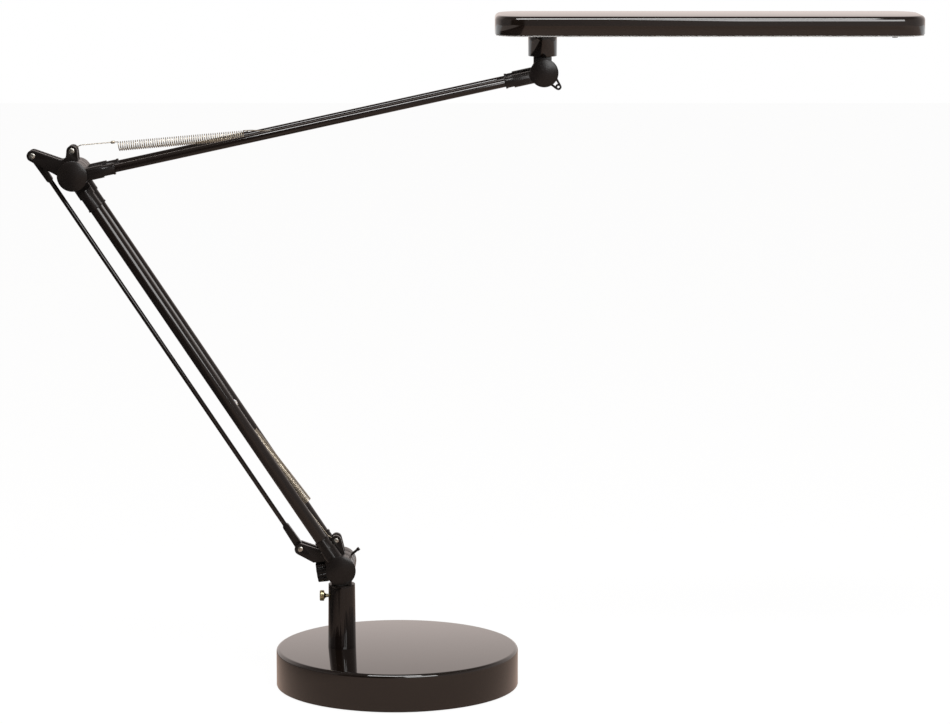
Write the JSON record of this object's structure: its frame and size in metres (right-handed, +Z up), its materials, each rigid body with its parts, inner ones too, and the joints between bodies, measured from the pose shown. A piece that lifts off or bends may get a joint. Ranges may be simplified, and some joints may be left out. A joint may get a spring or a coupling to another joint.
{
  "type": "spring-balanced desk lamp",
  "caption": "Spring-balanced desk lamp: round weighted base, turning post bracket, two arms of paired tubes, a parallel link and a long flat tilting and turning light head.",
  "frame": {"origin": "centre of the base's underside, on the table", "axes": "+X to the lamp's right seen from its front, the way that the head points; +Y to the back; +Z up"},
  "size_m": [0.7459, 0.2078, 0.5712],
  "materials": {
    "gloss_black_plastic": "high gloss",
    "satin_black_plastic": "satin",
    "black_painted_steel": "semi-gloss",
    "zinc_steel": "zinc plated",
    "spring_steel": "bright drawn",
    "brass": "satin",
    "white_nylon": "satin",
    "black_rubber": "matte",
    "weight_iron": "rough cast",
    "opal_acrylic": "opal, translucent",
    "board_aluminium": "white coated",
    "circuit_board": "satin"
  },
  "bodies": {
    "base": {"base_cover": "gloss_black_plastic", "base_weight": "weight_iron", "bottom_plate": "zinc_steel", "bottom_screws": "zinc_steel", "foot_pad": "black_rubber", "cable_gland": "black_rubber", "post_tube": "black_painted_steel", "post_nut": "zinc_steel", "post_bush": "white_nylon"},
    "thumbscrew": {"thumbscrew": "brass"},
    "turret": {"base_bracket": "satin_black_plastic", "turret_spigot": "zinc_steel", "base_bracket_screws": "zinc_steel", "base_axle": "zinc_steel", "base_washers": "white_nylon"},
    "tension_knob": {"tension_knob": "satin_black_plastic", "knob_stud": "zinc_steel"},
    "lower_arm": {"lower_foot_socket_front": "satin_black_plastic", "lower_foot_socket_rear": "satin_black_plastic", "lower_elbow_socket_front": "satin_black_plastic", "lower_elbow_socket_rear": "satin_black_plastic", "lower_tube_front": "black_painted_steel", "lower_tube_rear": "black_painted_steel", "base_cap_front": "satin_black_plastic", "base_cap_rear": "satin_black_plastic", "stop_pin": "black_painted_steel", "lower_spring_pin": "zinc_steel", "lower_spring_roller": "white_nylon"},
    "lower_spring": {"lower_spring": "spring_steel"},
    "link": {"link_rod": "black_painted_steel", "link_foot_end": "satin_black_plastic", "link_elbow_end": "satin_black_plastic"},
    "elbow_bracket": {"elbow_bracket": "satin_black_plastic", "elbow_bracket_screws": "zinc_steel", "elbow_axle": "zinc_steel", "elbow_washers": "white_nylon"},
    "upper_arm": {"upper_elbow_socket_front": "satin_black_plastic", "upper_elbow_socket_rear": "satin_black_plastic", "upper_head_socket_front": "satin_black_plastic", "upper_head_socket_rear": "satin_black_plastic", "upper_tube_front": "black_painted_steel", "upper_tube_rear": "black_painted_steel", "elbow_cap_front": "satin_black_plastic", "elbow_cap_rear": "satin_black_plastic", "head_cap_front": "satin_black_plastic", "head_cap_rear": "satin_black_plastic", "upper_spring_pin": "zinc_steel", "upper_tube_sleeve": "satin_black_plastic", "upper_spring": "spring_steel"},
    "upper_spring_wire": {"upper_spring_wire": "spring_steel"},
    "head_bracket": {"head_bracket": "satin_black_plastic", "head_axle": "zinc_steel", "spigot_clip": "zinc_steel"},
    "head": {"swivel_collar": "gloss_black_plastic", "head_shell": "gloss_black_plastic", "head_screws": "zinc_steel", "diffuser": "opal_acrylic", "led_board": "board_aluminium", "driver_board": "circuit_board"},
    "power_button": {"power_button": "satin_black_plastic"}
  },
  "joints": [
    {"name": "thumbscrew_turn", "type": "hinge", "parent": "base", "child": "thumbscrew", "pos_m": [-0.0471, 0, 0.077], "axis": [-1, 0, 0], "continuous": true},
    {"name": "turret_swivel", "type": "hinge", "parent": "base", "child": "turret", "pos_m": [-0.0471, 0, 0.093], "axis": [0, 0, 1], "range_deg": [-170, 170]},
    {"name": "tension_knob_turn", "type": "hinge", "parent": "turret", "child": "tension_knob", "pos_m": [-0.0637, 0, 0.0983], "axis": [-0.9877, 0, -0.1564], "continuous": true},
    {"name": "lower_arm_tilt", "type": "hinge", "parent": "turret", "child": "lower_arm", "pos_m": [-0.0471, 0, 0.1032], "axis": [0, 1, 0], "range_deg": [-10, 62], "deforming": ["lower_spring"]},
    {"name": "lower_spring_swing", "type": "hinge", "parent": "lower_arm", "child": "lower_spring", "pos_m": [-0.1386, 0, 0.24171], "axis": [0, 1, 0], "range_deg": [-1.5, 9.3]},
    {"name": "link_swing", "type": "hinge", "parent": "turret", "child": "link", "pos_m": [-0.0819, 0, 0.1186], "axis": [0, 1, 0], "range_deg": [-10, 62]},
    {"name": "elbow_level", "type": "hinge", "parent": "lower_arm", "child": "elbow_bracket", "pos_m": [-0.26814, 0, 0.43778], "axis": [0, 1, 0], "range_deg": [-62, 10]},
    {"name": "upper_arm_tilt", "type": "hinge", "parent": "elbow_bracket", "child": "upper_arm", "pos_m": [-0.26814, 0, 0.43778], "axis": [0, 1, 0], "range_deg": [-40, 22], "deforming": ["upper_spring", "upper_spring_wire"]},
    {"name": "upper_spring_draw", "type": "slide", "parent": "upper_arm", "child": "upper_spring_wire", "axis": [0.9982, 0, -0.0593], "range_m": [-0.0075, 0.0133]},
    {"name": "head_tilt", "type": "hinge", "parent": "upper_arm", "child": "head_bracket", "pos_m": [0.12357, 0, 0.52362], "axis": [0, 1, 0], "range_deg": [-40, 100]},
    {"name": "head_swivel", "type": "hinge", "parent": "head_bracket", "child": "head", "pos_m": [0.12257, 0, 0.54362], "axis": [0, 0, 1], "range_deg": [-90, 90]},
    {"name": "power_button_press", "type": "slide", "parent": "head", "child": "power_button", "axis": [0, 0, 1], "range_m": [0, 0.0008], "stiffness_N_per_m": 300}
  ],
  "couplings": [
    {"joint": "lower_spring_swing", "follows": "lower_arm_tilt", "ratio": 0.148},
    {"joint": "link_swing", "follows": "lower_arm_tilt", "ratio": 1},
    {"joint": "elbow_level", "follows": "lower_arm_tilt", "ratio": -1},
    {"joint": "upper_spring_draw", "follows": "upper_arm_tilt", "m_per_rad": -0.0189}
  ]
}
